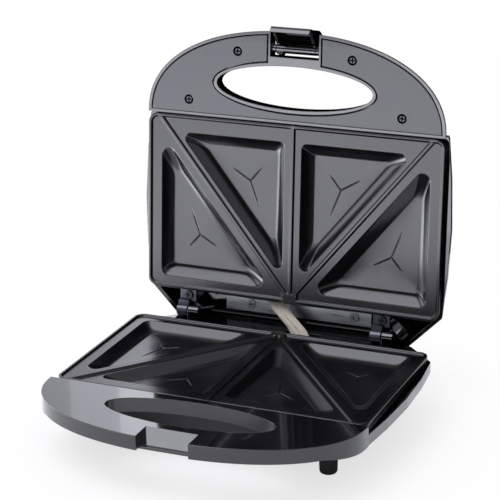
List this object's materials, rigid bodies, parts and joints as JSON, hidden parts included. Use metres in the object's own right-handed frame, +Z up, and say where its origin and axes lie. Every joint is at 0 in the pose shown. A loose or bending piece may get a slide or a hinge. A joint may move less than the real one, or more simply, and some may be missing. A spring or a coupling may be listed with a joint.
{
  "type": "sandwich toaster",
  "caption": "Black countertop sandwich toaster, lid hinged open, with triangle-pocket plates, oval hand holes in both handles and a snap latch.",
  "frame": {"origin": "centre of the bounding box at the bottom of the feet, lid open as in the picture", "axes": "+X across the toaster to the right, +Y from the handle to the hinge, +Z up"},
  "size_m": [0.2334, 0.2486, 0.2548],
  "materials": {
    "gloss_shell": "polished black moulding",
    "base_pan": "fine texture",
    "coated_plate": "satin non-stick coating on cast aluminium",
    "element_sheath": "heat-tinted",
    "ceramic": "unglazed ceramic",
    "shield_sheet": "bright sheet",
    "steel_screws": "zinc-plated",
    "dark_screws": "black-plated steel",
    "black_rubber": "matte",
    "hinge_steel": "dull plated",
    "red_lens": "translucent",
    "green_lens": "translucent",
    "braided_sleeve": "glass-fibre braid"
  },
  "bodies": {
    "base": {"base_housing": "gloss_shell", "base_cover": "base_pan", "lower_plate": "coated_plate", "lower_heating_element": "element_sheath", "lower_element_terminals": "ceramic", "lower_heat_shield": "shield_sheet", "lower_plate_screws": "steel_screws", "thermostat": "steel_screws", "terminal_block": "ceramic", "cord_bushing": "black_rubber", "foot_front_left": "black_rubber", "foot_front_right": "black_rubber", "foot_rear_left": "black_rubber", "foot_rear_right": "black_rubber", "base_cover_screws": "dark_screws", "hinge_pin_left": "hinge_steel", "hinge_pin_right": "hinge_steel", "wire_sleeve": "braided_sleeve"},
    "lid": {"lid_housing": "gloss_shell", "lid_handle_cover": "gloss_shell", "lid_handle_screws": "dark_screws", "hinge_bracket_left": "hinge_steel", "hinge_bracket_right": "hinge_steel", "hinge_screw_left": "dark_screws", "hinge_screw_right": "dark_screws", "upper_plate": "coated_plate", "upper_heating_element": "element_sheath", "upper_element_terminals": "ceramic", "upper_heat_shield": "shield_sheet", "upper_plate_screws": "steel_screws", "upper_shield_screws": "steel_screws", "power_lamp_lens": "red_lens", "ready_lamp_lens": "green_lens", "latch_pin": "hinge_steel"},
    "latch": {"latch": "gloss_shell"}
  },
  "joints": [
    {"name": "lid_hinge", "type": "hinge", "parent": "base", "child": "lid", "pos_m": [0, 0.08641, 0.042], "axis": [1, 0, 0], "range_deg": [0, 95], "deforming": ["wire_sleeve"]},
    {"name": "latch_pivot", "type": "hinge", "parent": "lid", "child": "latch", "pos_m": [0, 0.10897, 0.23678], "axis": [1, 0, 0], "range_deg": [0, 16]}
  ]
}
